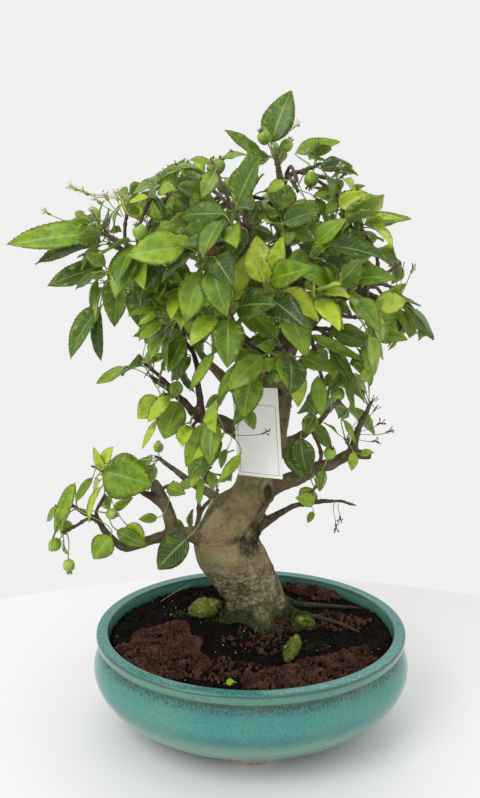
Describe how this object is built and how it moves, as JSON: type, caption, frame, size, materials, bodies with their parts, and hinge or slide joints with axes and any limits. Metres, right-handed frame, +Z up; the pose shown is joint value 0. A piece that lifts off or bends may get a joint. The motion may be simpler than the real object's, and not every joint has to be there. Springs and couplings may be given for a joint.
{
  "type": "crabapple bonsai in an oval glazed pot",
  "caption": "Crabapple bonsai with a curved trunk, toothed leaves and small green fruit, standing in an oval teal glazed pot with soil, grit and moss.",
  "frame": {"origin": "middle of the whole object's footprint box, on the surface that the pot stands on", "axes": "+Z up, -Y towards the front from which the tree is viewed, +X to the viewer's right along the pot's long side"},
  "size_m": [0.3956, 0.3212, 0.6323],
  "materials": {
    "glaze": "glossy teal and turquoise green glaze with dark specks, dark line in the groove, bare beige clay on the feet",
    "screen_plastic": "black moulded plastic mesh",
    "humus": "dark damp crumbly soil",
    "grit": "reddish brown baked clay granules, matt",
    "moss": "old root knob under yellow green moss",
    "bark": "grey beige bark with an olive tint, scaly low on the trunk",
    "leaf": "fresh green leaves with a soft gloss, paler underneath, and green fruit",
    "petal": "deep pink bud",
    "card": "white card with a thin grey border line",
    "tie_plastic": "pale thin plastic tie"
  },
  "bodies": {
    "root": {"pot": "glaze", "drain_screen_left": "screen_plastic", "drain_screen_right": "screen_plastic", "soil": "humus", "grit_left": "grit", "grit_front": "grit", "grit_back": "grit", "moss_knob_back": "moss", "moss_knob_right": "moss", "moss_knob_front": "moss", "tree_wood": "bark", "label_tag": "card", "tag_tie": "tie_plastic", "pink_bud": "petal", "sprout_leaf": "leaf", "spray_01": "leaf", "spray_02": "leaf", "spray_03": "leaf", "spray_04": "leaf", "spray_05": "leaf", "spray_06": "leaf", "spray_07": "leaf", "spray_08": "leaf", "spray_09": "leaf", "spray_10": "leaf", "spray_11": "leaf", "spray_12": "leaf", "spray_13": "leaf", "spray_14": "leaf", "spray_15": "leaf", "spray_16": "leaf", "spray_17": "leaf", "spray_18": "leaf", "spray_19": "leaf", "spray_20": "leaf", "spray_21": "leaf", "spray_22": "leaf", "spray_23": "leaf", "spray_24": "leaf", "spray_25": "leaf", "spray_26": "leaf", "spray_27": "leaf", "spray_28": "leaf", "spray_29": "leaf", "spray_30": "leaf", "spray_31": "leaf", "spray_32": "leaf", "spray_33": "leaf", "spray_34": "leaf", "spray_35": "leaf", "spray_36": "leaf", "spray_37": "leaf", "spray_38": "leaf", "spray_39": "leaf", "spray_40": "leaf", "spray_41": "leaf", "spray_42": "leaf", "spray_43": "leaf", "spray_44": "leaf", "spray_45": "leaf"}
  },
  "joints": []
}
